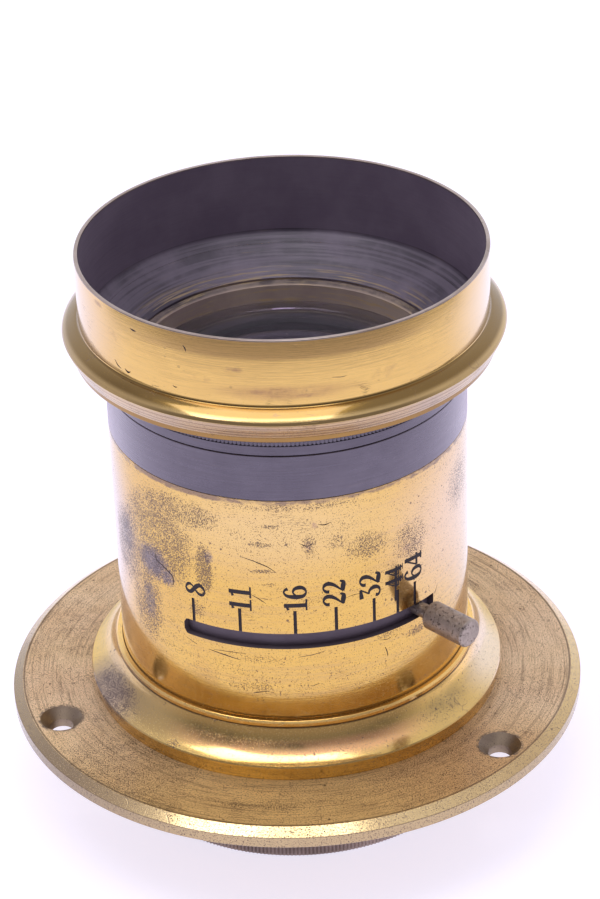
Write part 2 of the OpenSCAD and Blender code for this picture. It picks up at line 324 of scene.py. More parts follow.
# ---------------- materials
class Graph:
    """Short calls for building nodes in one node tree."""
    def __init__(self, tree):
        self.nodes, self.links = tree.nodes, tree.links


    def put(self, socket, value):
        if isinstance(value, bpy.types.NodeSocket):
            self.links.new(value, socket)
        elif isinstance(value, tuple) and len(value) == 3 and socket.type == "RGBA":
            socket.default_value = (*value, 1)
        else:
            socket.default_value = value

    def math(self, op, *values):
        node = self.nodes.new("ShaderNodeMath")
        node.operation = op
        for socket, value in zip(node.inputs, values):
            self.put(socket, value)
        return node.outputs[0]

    def add(self, *values):
        total = values[0]
        for v in values[1:]:
            total = self.math("ADD", total, v)
        return total

    def mul(self, *values):
        total = values[0]
        for v in values[1:]:
            total = self.math("MULTIPLY", total, v)
        return total

    def vector(self, x, y, z):
        node = self.nodes.new("ShaderNodeCombineXYZ")
        for socket, value in zip(node.inputs, (x, y, z)):
            self.put(socket, value)
        return node.outputs[0]

    def noise(self, vector, scale, detail=2.0, rough=0.5, distortion=0.0):
        node = self.nodes.new("ShaderNodeTexNoise")
        self.put(node.inputs["Vector"], vector)
        for name, value in (("Scale", scale), ("Detail", detail), ("Roughness", rough),
                            ("Distortion", distortion)):
            node.inputs[name].default_value = value
        return node.outputs["Fac"]

    def cells(self, vector, scale):
        node = self.nodes.new("ShaderNodeTexVoronoi")
        self.put(node.inputs["Vector"], vector)
        node.inputs["Scale"].default_value = scale
        return node.outputs["Distance"]

    def step(self, value, low, high, start=0.0, end=1.0):
        """Smooth step of value from low to high, onto start..end."""
        node = self.nodes.new("ShaderNodeMapRange")
        node.interpolation_type = "SMOOTHSTEP"
        for name, v in (("Value", value), ("From Min", low), ("From Max", high),
                        ("To Min", start), ("To Max", end)):
            self.put(node.inputs[name], v)
        return node.outputs["Result"]

    def band(self, value, centre, half, soft):
        """1 within half of centre, falling to 0 over soft."""
        away = self.math("ABSOLUTE", self.math("SUBTRACT", value, centre))
        return self.step(away, half, half + soft, 1.0, 0.0)

    def mix(self, amount, a, b):
        node = self.nodes.new("ShaderNodeMix")
        node.data_type = "RGBA"
        self.put(node.inputs["Factor"], amount)
        self.put(node.inputs[6], a)
        self.put(node.inputs[7], b)
        return node.outputs[2]

    def highest(self, *values):
        top = values[0]
        for v in values[1:]:
            top = self.math("MAXIMUM", top, v)
        return top

    def bump(self, height, strength, distance, base=None):
        node = self.nodes.new("ShaderNodeBump")
        node.inputs["Strength"].default_value = strength
        node.inputs["Distance"].default_value = distance
        self.put(node.inputs["Height"], height)
        if base is not None:
            self.put(node.inputs["Normal"], base)
        return node.outputs["Normal"]


class Tree(Graph):
    """A material whose nodes know where they are on the object."""
    def __init__(self, name):
        self.material = bpy.data.materials.new(name)
        self.material.use_nodes = True
        super().__init__(self.material.node_tree)
        self.shader = self.nodes["Principled BSDF"]
        place = self.nodes.new("ShaderNodeTexCoord")
        split = self.nodes.new("ShaderNodeSeparateXYZ")
        self.links.new(place.outputs["Object"], split.inputs[0])
        self.xyz = place.outputs["Object"]
        self.x, self.y, self.z = split.outputs
        self.r = self.math("SQRT", self.math("ADD", self.math("MULTIPLY", self.x, self.x),
                                             self.math("MULTIPLY", self.y, self.y)))
        self.sin = self.math("DIVIDE", self.x, self.math("MAXIMUM", self.r, 1e-5))
        self.cos = self.math("DIVIDE", self.math("MULTIPLY", self.y, -1), self.math("MAXIMUM", self.r, 1e-5))

    def around(self, turns, z_lines, r_lines, shift=0.0):
        """Coordinates for marks that run round the axis: lines per metre across, few along."""
        across = self.add(self.mul(self.z, z_lines), self.mul(self.r, r_lines), shift)
        return self.vector(self.mul(self.sin, turns), self.mul(self.cos, turns), across)

    def blob(self, angle, height, strength, spread_deg, spread_z, edge=0.9):
        """A soft patch of wear on the turned surface, its centre at an angle and a height in mm."""
        a = math.radians(angle)
        across = self.add(self.mul(self.sin, math.cos(a)), self.mul(self.cos, -math.sin(a)))
        facing = self.add(self.mul(self.sin, math.sin(a)), self.mul(self.cos, math.cos(a)))
        du = self.math("DIVIDE", self.math("ARCTAN2", across, facing), math.radians(spread_deg))
        dz = self.math("DIVIDE", self.math("SUBTRACT", self.z, height * MM), spread_z * MM)
        away = self.math("SQRT", self.add(self.mul(du, du), self.mul(dz, dz)))
        return self.step(away, 1 - edge, 1.0, strength, 0.0)

    def blobs(self, *patches):
        """The strongest of several soft patches at each point."""
        return self.highest(*[self.blob(*p) for p in patches])

    def finish(self, colour, rough, normal=None, **fixed):
        self.put(self.shader.inputs["Base Color"], colour)
        self.put(self.shader.inputs["Roughness"], rough)
        if normal is not None:
            self.put(self.shader.inputs["Normal"], normal)
        for name, value in fixed.items():
            self.put(self.shader.inputs[name.replace("_", " ")], value)
        return self.material


LINE_RELIEF = 0.00006       # height of the turning lines in metres


def brass(name, clean, worn, dark, rough, line_depth, specks, brush=4200.0, patches=(), tarnish=0.5,
          pits=0.4, coat=0.6, streaks=0.16, extra=None):
    """Turned brass under old lacquer: brush lines, tarnish clouds, dark specks and scratches.

    patches are blobs where the lacquer has gone. extra(t, colour, marks) adds one surface's own marks."""
    t = Tree(name)
    fine = t.noise(t.around(5.0, brush, brush * 0.7), 1.0, 3.0, 0.65)
    broad = t.noise(t.around(2.2, brush * 0.14, brush * 0.1, 7.0), 1.0, 3.0, 0.6)
    cloud = t.noise(t.xyz, 60.0, 4.0, 0.6, 0.4)
    grain = t.noise(t.xyz, 900.0, 3.0, 0.7)
    colour = t.mix(t.step(cloud, 0.38, 0.66, 0.0, tarnish), clean, worn)
    colour = t.mix(t.step(broad, 0.5, 0.72, 0.0, 0.30), colour, worn)
    colour = t.mix(t.step(fine, 0.50, 0.80, 0.0, 0.16), colour, dark)
    # dark specks where the lacquer has gone: dense inside the ragged wear patches, in faint rows elsewhere
    rows = t.noise(t.around(2.0, 520.0, 260.0, 19.0), 1.0, 3.0, 0.6)
    wear = t.add(specks, t.step(rows, 0.55, 0.75, 0.0, streaks))
    if patches:
        ragged = t.step(t.noise(t.xyz, 480.0, 5.0, 0.75), 0.30, 0.60, 0.80, 1.02)
        wear = t.highest(wear, t.mul(t.blobs(*patches), ragged))
    spot = t.noise(t.xyz, 4600.0, 4.0, 0.72)
    spots = t.step(t.add(spot, t.mul(wear, 0.34)), 0.775, 0.825, 0.0, 0.92)
    flecks = t.step(t.add(t.noise(t.xyz, 1900.0, 3.0, 0.6), t.mul(wear, 0.09)), 0.725, 0.750)
    pit_gate = t.step(t.noise(t.xyz, 210.0, 2.0, 0.5), 0.60, 0.66)
    pitted = t.mul(t.step(t.cells(t.xyz, 620.0), 0.10, 0.19, 1.0, 0.0), pit_gate, pits)
    # short scratches round the axis
    lines = t.noise(t.around(9.0, 1900.0, 1500.0, 31.0), 1.0, 2.0, 0.5)
    gate = t.step(t.noise(t.xyz, 130.0, 2.0, 0.5, 0.3), 0.62, 0.72)
    scratch = t.mul(t.band(lines, 0.5, 0.006, 0.010), gate)
    marks = t.highest(spots, t.mul(flecks, pits), pitted, t.mul(scratch, 0.55))
    if extra:
        colour, marks = extra(t, colour, marks)
    colour = t.mix(t.mul(marks, 0.85), colour, dark)
    roughness = t.add(t.step(cloud, 0.3, 0.7, rough, rough * 1.35), t.mul(marks, 0.32),
                      t.step(fine, 0.3, 0.7, -0.02, 0.04))
    relief = t.add(t.mul(fine, line_depth), t.mul(marks, -0.8), t.mul(grain, 0.12))
    normal = t.bump(relief, 0.35, LINE_RELIEF)
    return t.finish(colour, roughness, normal, Metallic=1.0, Coat_Weight=coat, Coat_Roughness=0.05)


def black(name, base, lit, rough, metallic, worn=None, wear=0.0, grooves=0.0, brush=4000.0, coat=0.0,
          sheen=0.0, extra=None):
    """Chemically blackened brass: dark satin skin, fine lines, brass showing at rubbed places."""
    t = Tree(name)
    fine = t.noise(t.around(4.0, brush, brush * 0.7), 1.0, 3.0, 0.6)
    groove = t.noise(t.around(1.2, brush * 0.42, brush * 0.5, 3.0), 1.0, 1.0, 0.4)
    cloud = t.noise(t.xyz, 90.0, 4.0, 0.6)
    dust = t.step(t.noise(t.xyz, 2600.0, 2.0, 0.5), 0.74, 0.80)
    colour = t.mix(t.step(cloud, 0.35, 0.7), base, lit)
    colour = t.mix(t.step(groove, 0.40, 0.62, 0.0, 0.55 * min(1.0, grooves)), colour, lit)
    colour = t.mix(t.mul(dust, 0.25), colour, (0.30, 0.27, 0.32))
    if extra:
        colour = extra(t, colour)
    metal = metallic
    if worn:
        streak = t.noise(t.around(3.0, 1500.0, 1500.0, 5.0), 1.0, 4.0, 0.7)
        patchy = t.step(t.noise(t.xyz, 140.0, 3.0, 0.6), 0.38, 0.56)
        rubbed = t.mul(t.step(streak, 0.62 - 0.2 * wear, 0.70), wear, patchy)
        colour = t.mix(rubbed, colour, worn)
        metal = t.add(t.mul(rubbed, 1.0 - metallic), metallic)
    roughness = t.add(t.step(fine, 0.3, 0.7, rough - 0.05, rough + 0.08),
                      t.step(cloud, 0.3, 0.7, -0.03, 0.06))
    normal = t.bump(t.add(t.mul(fine, 0.5), t.mul(groove, grooves * 2.5)), 0.4, LINE_RELIEF)
    return t.finish(colour, roughness, normal, Metallic=metal, Coat_Weight=coat, Coat_Roughness=0.15,
                    Sheen_Weight=sheen, Sheen_Roughness=0.4, Sheen_Tint=(0.80, 0.72, 1.0, 1.0))


def collar_side_reflection(t, colour):
    """The skin is painted lighter and more lavender at the sides and back: a painted reflection of the
    brighter room there.
    """
    return t.mix(t.step(t.cos, 0.30, 0.92, 0.85, 0.0), colour, (0.20, 0.178, 0.235))


def funnel_marks(t, colour):
    """Brown streaks near the foot of the cone, where the black has been rubbed through."""
    low = t.step(t.z, 79.6 * MM, 81.2 * MM, 1.0, 0.0)
    streak = t.noise(t.around(2.4, 1900.0, 1900.0, 9.0), 1.0, 4.0, 0.65)
    return t.mix(t.mul(t.step(streak, 0.50, 0.60), low, 0.85), colour, (0.30, 0.215, 0.13))


def worn_ring_marks(t, colour):
    """The top edge keeps most of its black."""
    low, high = (z_of["front_retaining_ring"][1] - d for d in (0.55, 0.15))
    patchy = t.step(t.noise(t.xyz, 190.0, 4.0, 0.65), 0.34, 0.62, 0.95, 0.55)
    return t.mix(t.mul(t.step(t.z, low * MM, high * MM), patchy), colour, (0.055, 0.042, 0.050))


def stained(t, colour, amount, tint, low=0.55, high=0.85, grain=700.0):
    """Lays a tint over the colour where a soft mask plus ragged noise is high enough."""
    ragged = t.noise(t.xyz, grain, 5.0, 0.72)
    return t.mix(t.step(t.add(t.mul(amount, 0.5), t.mul(ragged, 0.7)), low, high), colour, tint)


def barrel_marks(t, colour, marks):
    """Paler sides, partly tarnish and partly a painted reflection of the bright room; violet-brown stains on
    the left, a pale top, a foot painted brighter as a painted reflection of the flange, and dark margins.
    """
    streak = t.noise(t.around(1.6, 1100.0, 0.0, 77.0), 1.0, 4.0, 0.65)
    colour = t.mix(t.step(streak, 0.48, 0.70, 0.0, 0.45), colour, (0.60, 0.38, 0.15))
    colour = t.mix(t.blob(-6, 63, 0.60, 62, 13), colour, (0.82, 0.60, 0.30))
    # paler at both sides: partly tarnish, partly a painted reflection of the bright backdrop
    colour = t.mix(t.blob(-84, 52, 0.80, 32, 24), colour, (0.66, 0.55, 0.62))
    colour = t.mix(t.blob(66, 57, 0.72, 46, 24), colour, (0.84, 0.65, 0.52))
    stain = t.blobs((-50, 51.5, 1.0, 15, 6.5), (-44, 50.0, 0.85, 7, 3.5, 0.8), (-53, 43.5, 0.72, 7, 8, 0.8),
                    (-27.1, 56.5, 0.75, 3.2, 2.6, 0.8), (-66, 53, 0.80, 13, 9))
    colour = stained(t, colour, t.mul(stain, 1.12), (0.235, 0.185, 0.20), 0.56, 0.90, 2300.0)
    # painted reflection of the flange: the foot of the barrel is mixed towards bright gold
    low = t.step(t.z, (barrel_low + 9.0) * MM, (barrel_low + 14.0) * MM, 0.85, 0.0)
    colour = t.mix(low, colour, (0.95, 0.62, 0.17))
    foot = t.band(t.z, (step_top + 0.15) * MM, 0.12 * MM, 0.30 * MM)
    colour = t.mix(t.mul(foot, 0.8), colour, (0.20, 0.115, 0.05))
    small = t.blobs((7, 63.4, 0.9, 3, 1.5), (4.8, 59.8, 0.8, 4, 1.8), (-31, 64.5, 0.8, 4, 1.6),
                    (38, 55, 0.6, 10, 4))
    colour = stained(t, colour, small, (0.42, 0.26, 0.19), 0.60, 0.90)
    edge = t.band(t.z, (barrel_top - 0.2) * MM, 0.25 * MM, 1.3 * MM)
    edge = t.mul(edge, t.highest(t.blob(-40, 67.6, 1.0, 34, 9, 0.6), 0.82))
    ragged = t.noise(t.around(14.0, 1200.0, 0.0), 1.0, 4.0, 0.7)
    margin = t.step(t.add(t.mul(edge, 0.5), t.mul(ragged, 0.6)), 0.58, 0.78)
    return t.mix(t.mul(margin, 0.75), colour, (0.15, 0.10, 0.11)), marks


def under_marks(t, colour, marks):
    """Turned lines under the ring."""
    for height in (82.95, 83.55, 84.45):
        line = t.band(t.z, height * MM, 0.05 * MM, 0.14 * MM)
        colour = t.mix(t.mul(line, 0.6), colour, (0.22, 0.13, 0.08))
    return colour, marks


def hood_marks(t, colour, marks):
    """Paler pinkish sides, a painted reflection of the pale room; brown smudges, most of them low in front;
    and a dark band under the rim in front, a painted reflection of the dark room in front.
    """
    # paler and pinkish at both sides: a painted reflection of the pale room
    colour = t.mix(t.blob(-78, 93, 0.45, 34, 12), colour, (0.84, 0.66, 0.56))
    colour = t.mix(t.blob(80, 93, 0.65, 36, 12), colour, (0.93, 0.78, 0.62))
    smudge = t.blobs((-7, 89.6, 0.95, 8, 1.0), (5, 88.9, 0.85, 9, 0.9), (-14, 93.2, 0.7, 6, 1.2),
                     (-24, 91.0, 0.55, 10, 1.6), (-60, 97.2, 0.95, 5, 1.0), (-53, 93.5, 0.6, 5, 2.2),
                     (28, 90.5, 0.55, 14, 3.0), (-1, 89.6, 0.62, 24, 2.0, 0.8))
    colour = stained(t, colour, smudge, (0.34, 0.19, 0.10), 0.54, 0.98, 620.0)
    patchy = t.step(t.noise(t.xyz, 260.0, 4.0, 0.6), 0.3, 0.6, 0.5, 1.0)
    colour = t.mix(t.mul(t.blob(-1, 89.4, 0.62, 27, 1.9, 0.8), patchy), colour, (0.44, 0.25, 0.10))
    # painted reflection: a dark band under the rim, only in front, stands for the dark room reflected there
    rim_dark_reflection = t.mul(t.step(t.z, 94.6 * MM, 95.6 * MM), t.step(t.cos, 0.66, 0.95))
    return t.mix(t.mul(rim_dark_reflection, 0.55), colour, (0.28, 0.16, 0.07)), marks


def flange_marks(t, colour, marks):
    """Pinker at the sides and back, a painted reflection of the pale room, with turned and crossed
    scratches, burred screw holes, and a dark line inside the chamfer."""
    # painted reflection: the sides and back are mixed towards pink, for the pale room reflected there
    behind = t.step(t.y, -0.044, -0.012)
    cloudy = t.step(t.noise(t.xyz, 45.0, 3.0, 0.6), 0.25, 0.7, 0.6, 0.95)
    colour = t.mix(t.mul(behind, cloudy), colour, (0.85, 0.665, 0.475))
    fine = t.noise(t.around(3.0, 2600.0, 2600.0, 51.0), 1.0, 4.0, 0.7)
    colour = t.mix(t.step(fine, 0.48, 0.70, 0.0, 0.52), colour, (0.22, 0.125, 0.055))
    crossed = t.band(t.noise(t.xyz, 150.0, 3.0, 0.5, 0.2), 0.5, 0.0015, 0.003)
    colour = t.mix(t.mul(crossed, 0.45), colour, (0.20, 0.12, 0.07))
    colour = t.mix(t.blob(38, flange_top, 0.60, 30, 30), colour, (0.62, 0.37, 0.17))
    for angle in screw_angles:
        x, y, _ = around(angle, screw_circle * MM, 0)
        dx, dy = t.add(t.x, -x), t.add(t.y, -y)
        away = t.math("SQRT", t.add(t.mul(dx, dx), t.mul(dy, dy)))
        burr = t.mul(t.band(away, sink_r * MM, 0.10 * MM, 0.55 * MM),
                     t.step(t.noise(t.xyz, 900.0, 3.0, 0.6), 0.36, 0.58))
        colour = t.mix(t.mul(burr, 0.8), colour, (0.16, 0.11, 0.09))
    line = t.band(t.r, (flange_r - 1.85) * MM, 0.06 * MM, 0.16 * MM)
    return t.mix(t.mul(line, 0.6), colour, (0.09, 0.05, 0.03)), marks


def edge_marks(t, colour, marks):
    """The upright edge is duller than the polished chamfer; both go brown on the left."""
    upright = t.step(t.r, (flange_r - 0.14) * MM, (flange_r - 0.05) * MM)
    colour = t.mix(t.blob(58, flange_top, 0.55, 52, 12), colour, (0.50, 0.34, 0.14))
    colour = t.mix(t.mul(upright, 0.85), colour, (0.50, 0.37, 0.21))
    return t.mix(t.blob(-75, flange_low + 1.5, 0.75, 62, 12, 0.8), colour, (0.24, 0.18, 0.13)), marks


def ring_marks(t, colour, marks):
    """Duller at both sides, and painted shade on the upper part next to the wall, where the overhead
    highlight falls off.
    """
    colour = t.mix(t.blob(-88, 86, 0.65, 40, 4), colour, (0.36, 0.27, 0.20))
    colour = t.mix(t.blob(70, 86, 0.30, 26, 4), colour, (0.40, 0.28, 0.17))
    # painted shade: the upper part of the ring top, next to the wall, is mixed towards dark gold
    return t.mix(t.step(t.z, 85.72 * MM, 86.25 * MM), colour, (0.22, 0.13, 0.03)), marks


def cove_marks(t, colour, marks):
    """A copper band and olive smudges half-way down the hollow, gold above, dull patches on the left,
    a dark groove under the step, and a painted reflection of the white backdrop, pale, on the right."""
    patchy = t.step(t.noise(t.xyz, 75.0, 3.0, 0.6), 0.34, 0.60, 0.50, 0.95)
    copper = t.mul(t.band(t.z, 23.0 * MM, 0.4 * MM, 1.1 * MM), t.step(t.cos, 0.7, 0.95), patchy)
    colour = t.mix(copper, colour, (1.0, 0.56, 0.26))
    colour = t.mix(t.step(t.z, 24.2 * MM, 25.4 * MM, 0.0, 0.8), colour, (1.0, 0.64, 0.20))
    colour = t.mix(t.blob(-62, 24.0, 0.75, 34, 6.0, 0.8), colour, (0.50, 0.36, 0.17))
    groove = t.band(t.z, (flange_top + 7.34) * MM, 0.10 * MM, 0.20 * MM)
    colour = t.mix(t.mul(groove, 0.85), colour, (0.13, 0.075, 0.035))
    olive = t.blobs((-27, 24.0, 0.95, 15, 1.5), (-2, 23.4, 1.0, 11, 0.8), (24, 24.6, 0.7, 12, 1.4),
                    (50, 23.5, 0.85, 14, 2.0))
    ragged = t.step(t.noise(t.xyz, 420.0, 4.0, 0.6), 0.3, 0.6, 0.30, 0.75)
    colour = t.mix(t.mul(olive, ragged), colour, (0.34, 0.24, 0.09))
    colour = t.mix(t.blob(-70, 21.6, 0.85, 20, 4.5, 0.8), colour, (0.32, 0.235, 0.20))
    # painted reflection of the white backdrop: a pale patch on the right side of the cove
    return t.mix(t.blob(82, 22.8, 0.8, 26, 4.5, 0.8), colour, (0.90, 0.76, 0.62)), marks


# where the lacquer has gone: angle, height, strength, spread in degrees and in mm, softness
BARREL_PATCHES = [
    (-50, 56, 0.91, 30, 14, 0.6), (-40, 63.5, 0.86, 34, 5.5, 0.7), (-29, 54, 0.98, 6, 9, 0.7),
    (-55, 43, 0.92, 16, 14, 0.7), (-66, 51, 0.98, 18, 13, 0.7), (-32, 46, 0.90, 7, 4),
    (0, 66.9, 0.80, 60, 1.8), (24, 58, 0.86, 19, 6.5), (40, 56, 0.89, 18, 9), (14, 60, 0.80, 14, 4),
    (5, 60, 0.88, 6, 5.5), (0, 62, 0.62, 60, 6, 0.7), (-10, 55.2, 0.95, 11, 0.9),
    (-10, 60.1, 0.88, 14, 1.4), (-7, 63.5, 0.88, 10, 1.0), (-8, 52.7, 0.90, 6, 0.8),
    (5, 49.5, 0.75, 16, 2.5), (31, 40, 0.78, 14, 2.0), (42, 38.5, 0.90, 12, 2.2),
    (-10, 38.5, 0.70, 26, 2.5), (-14, 33, 0.72, 26, 3.5), (68, 60, 0.84, 24, 13), (150, 50, 0.82, 60, 20),
    (-130, 42, 0.84, 50, 18), (95, 36, 0.76, 44, 12)]
SHOULDER_PATCHES = [
    (-67, 22.0, 0.97, 24, 5, 0.7), (46, 23, 0.72, 36, 4), (150, 23, 0.8, 60, 6), (-37, 21.6, 1.0, 5, 1.0)]
FLANGE_PATCHES = [
    (-42, flange_top, 0.83, 46, 30, 0.8), (32, flange_top, 0.79, 44, 30, 0.8),
    (-110, flange_top, 0.78, 50, 30, 0.8)]

# colours are linear; brass takes its clean, worn and dark colour, roughness, line depth and specks
umber = (0.105, 0.066, 0.070)
m_hood = brass(
    "hood_brass", (0.77, 0.50, 0.155), (0.70, 0.44, 0.14), (0.26, 0.16, 0.10), 0.085, 0.2, 0.22,
    tarnish=0.30, pits=0.2, coat=0.6, streaks=0.10, extra=hood_marks)
m_rim = brass(
    "hood_rim_brass", (0.46, 0.38, 0.35), (0.28, 0.21, 0.18), (0.14, 0.10, 0.09), 0.26, 0.3, 0.3,
    tarnish=0.8)
m_ring_top = brass(
    "hood_ring_brass", (0.60, 0.42, 0.17), (0.48, 0.33, 0.14), (0.20, 0.12, 0.08), 0.13, 0.25, 0.30,
    tarnish=0.45, pits=0.3, extra=ring_marks)
m_under = brass(
    "hood_underside_brass", (0.62, 0.44, 0.26), (0.50, 0.38, 0.30), (0.16, 0.09, 0.07), 0.22, 0.5, 0.45,
    tarnish=0.8, pits=0.3, coat=0.4, extra=under_marks)
m_lip = brass("hood_lip_brass", (0.36, 0.205, 0.06), (0.30, 0.17, 0.06), umber, 0.16, 0.3, 0.35, coat=0.3)
m_barrel = brass(
    "barrel_brass", (0.77, 0.485, 0.118), (0.70, 0.42, 0.12), umber, 0.10, 0.35, 0.52,
    patches=BARREL_PATCHES, pits=0.9, extra=barrel_marks)
m_shoulder = brass(
    "shoulder_brass", (0.84, 0.565, 0.17), (0.62, 0.43, 0.16), umber, 0.13, 0.3, 0.52,
    patches=SHOULDER_PATCHES, pits=1.0, extra=cove_marks)
m_flange = brass(
    "flange_brass", (0.84, 0.60, 0.27), (0.62, 0.43, 0.19), (0.15, 0.09, 0.06), 0.60, 0.9, 0.70,
    brush=5200.0, patches=FLANGE_PATCHES, tarnish=0.45, pits=0.8, coat=0.25, extra=flange_marks)
m_flange_edge = brass(
    "flange_edge_brass", (0.86, 0.64, 0.32), (0.70, 0.50, 0.25), umber, 0.14, 0.3, 0.66, tarnish=0.6,
    pits=0.9, extra=edge_marks)
m_hole = brass(
    "screw_hole_brass", (0.36, 0.28, 0.20), (0.22, 0.165, 0.13), umber, 0.40, 0.4, 0.5, tarnish=0.8,
    coat=0.2)
# black takes its base and lit colour, roughness, metallic, then the colour and amount of rubbed brass
m_black = black(
    "black_finish", (0.106, 0.090, 0.124), (0.148, 0.128, 0.170), 0.28, 1.0, (0.40, 0.30, 0.22), 0.05,
    coat=0.8, sheen=1.0, extra=collar_side_reflection)
m_cell_edge = black(
    "cell_black", (0.104, 0.088, 0.122), (0.140, 0.122, 0.164), 0.30, 1.0, (0.45, 0.28, 0.10), 0.06,
    coat=0.8, sheen=1.0, extra=collar_side_reflection)
m_rear = black(
    "rear_cell_black", (0.26, 0.205, 0.19), (0.45, 0.36, 0.33), 0.45, 0.9, (0.45, 0.30, 0.15), 0.30)
m_inside = black(
    "hood_inside_black", (0.160, 0.124, 0.182), (0.200, 0.160, 0.222), 0.55, 0.15, (0.34, 0.2, 0.09), 0.05)
m_funnel = black(
    "funnel_black", (0.056, 0.044, 0.066), (0.150, 0.122, 0.170), 0.50, 0.15, (0.42, 0.30, 0.12), 0.12,
    grooves=1.0, brush=2600.0, extra=funnel_marks)
m_worn_ring = black(
    "worn_ring_brass", (0.36, 0.27, 0.245), (0.48, 0.37, 0.31), 0.60, 0.10, (0.70, 0.52, 0.26), 0.7,
    extra=worn_ring_marks)
m_inner = black("iris_black", (0.125, 0.095, 0.128), (0.175, 0.140, 0.178), 0.5, 0.3)
m_leaf = black("leaf_steel", (0.07, 0.068, 0.085), (0.12, 0.118, 0.14), 0.40, 0.8, grooves=0.4)
m_slot_paint = black("engraving_black", (0.020, 0.014, 0.022), (0.040, 0.030, 0.042), 0.6, 0.0)
# painted shade: the slot's cut walls are coloured dark violet for the darkness inside the slot
m_slot_side_shade = black("slot_side_painted_shade", (0.105, 0.080, 0.100), (0.150, 0.120, 0.145), 0.5, 0.2)
m_scratch = black("scratch_dark", (0.050, 0.030, 0.028), (0.095, 0.060, 0.050), 0.55, 0.3)


def worn_metal():
    t = Tree("lever_metal")
    cloud = t.noise(t.xyz, 420.0, 5.0, 0.7)
    grain = t.noise(t.xyz, 2600.0, 3.0, 0.7)
    colour = t.mix(t.step(cloud, 0.35, 0.65), (0.39, 0.33, 0.295), (0.52, 0.44, 0.40))
    spots = t.step(t.add(t.noise(t.xyz, 2200.0, 4.0, 0.7), t.mul(cloud, 0.15)), 0.64, 0.72)
    colour = t.mix(t.mul(spots, 0.8), colour, (0.07, 0.05, 0.05))
    normal = t.bump(t.add(t.mul(grain, 0.9), t.mul(spots, -1.0), cloud), 0.8, 0.00016)
    return t.finish(colour, t.step(grain, 0.3, 0.7, 0.38, 0.58), normal, Metallic=1.0)


def glass():
    t = Tree("coated_glass")
    dust = t.step(t.noise(t.xyz, 1700.0, 2.0, 0.5), 0.72, 0.80)
    haze = t.noise(t.xyz, 45.0, 3.0, 0.6)
    colour = t.mix(t.mul(dust, 0.3), (0.93, 0.88, 0.97), (0.75, 0.73, 0.75))
    rough = t.add(t.step(haze, 0.4, 0.8, 0.0, 0.05), t.mul(dust, 0.3))
    normal = t.bump(haze, 0.02, 0.0001)
    return t.finish(colour, rough, normal, Transmission_Weight=0.98, IOR=1.54)


m_lever = worn_metal()
m_glass = glass()


def stands_for(obj, node, body):
    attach(obj, body)
    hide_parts(node)


# ---------------- hood
inner_r = hood_r - hood_wall
hood_outline = [
    (nose_r + 0.015, nose_z), (32.3, 80.75, 0.5), (33.8, 81.3, 0.3), (34.12, 81.55, 0.12),
    (34.26, 82.35, 0.05), (34.42, 82.5, 0.05), (35.15, 84.05, 0.05), (35.24, 84.12, 0.05),
    (ring_r - 0.12, 84.95, 0.08), (ring_r, 85.2, 0.15)]
hood_outline += arc(ring_r - 5.01, 80.41, 7.07, 46.6, 66.6, 10)
hood_outline += arc(hood_r + 0.5, 87.4, 0.5, -110, -180, 6)
hood_outline += [(hood_r, rim_z - 0.25), (hood_r - 0.06, rim_z - 0.08), (hood_r - 0.2, rim_z),
                 (inner_r + 0.2, rim_z), (inner_r + 0.06, rim_z - 0.08), (inner_r, rim_z - 0.25),
                 (inner_r, 84.5, 1.0), (nose_r + 0.015, nose_top + 0.02)]
WALL, INSIDE, RIM, RING, UNDERSIDE, LIP, FLOOR = range(7)


def hood_zone(r, z):
    if z > rim_z - 0.3:
        return RIM
    if r < inner_r + 0.01 and z > 82:
        return INSIDE if z > 84.9 else FLOOR
    if z < 87.2:
        return RING if z > 85.15 else UNDERSIDE if z > 82.45 else LIP
    return WALL


hood = turned("hood", hood_outline, [m_hood, m_inside, m_rim, m_ring_top, m_under, m_lip, m_funnel],
              hood_zone)
stands_for(hood, "lens_hood", "lens")

# ---------------- front cell, collar, retaining ring, glass
knurl_low, knurl_high, knurl_depth = 78.0, 80.05, 0.2
cell_outline = [
    (lip_r, 67.6), (screwed_r, 67.6), (screwed_r, collar_top + JOINT_GAP), (29.05, collar_top + JOINT_GAP),
    (29.05, collar_top + 0.16), (barrel_r, collar_top + 0.16, 0.06), (barrel_r, knurl_low - 0.1),
    (barrel_r - knurl_depth, knurl_low - 0.1), (barrel_r - knurl_depth, knurl_low), (barrel_r, knurl_low),
    (barrel_r, knurl_high), (nose_r, nose_z), (nose_r, nose_top), (ring_seat_r, 79.25, 0.1),
    (ring_seat_r, 75.12), (glass_seat_r, 75.12), (glass_seat_r, 69.15), (lip_r, 69.15)]


def cell_zone(r, z):
    return 1 if r < 30.5 and (z > 79.2 and r < barrel_r - 0.5 or r < 25.3) else 0


front_cell = turned("front_cell_body", cell_outline, [m_cell_edge, m_funnel], cell_zone, segments=560,
                    teeth=(knurl_low, knurl_high, knurl_depth, barrel_r))
stands_for(front_cell, "front_cell", "lens")

collar_screw_r, collar_low = iris_bore_r - 0.05, 63.5
collar_outline = [
    (tube_bore_r, collar_low), (collar_screw_r, collar_low), (collar_screw_r, barrel_top + JOINT_GAP),
    (barrel_r, barrel_top + JOINT_GAP, 0.12), (barrel_r, collar_top, 0.15), (tube_bore_r, collar_top)]
collar = turned("collar", collar_outline, [m_black])
stands_for(collar, "front_collar", "lens")

ring_low, ring_high = z_of["front_retaining_ring"]
ring_in, ring_out = 24.0, ring_seat_r - 0.05
ring_outline = [
    (ring_in, ring_low + 0.25), (ring_in + 0.25, ring_low), (ring_out, ring_low),
    (ring_out, ring_high, 0.08), (ring_in + 0.5, ring_high, 0.12), (ring_in, ring_high - 0.5, 0.1)]
front_ring = turned("front_ring", ring_outline, [m_worn_ring])
stands_for(front_ring, "front_retaining_ring", "lens")

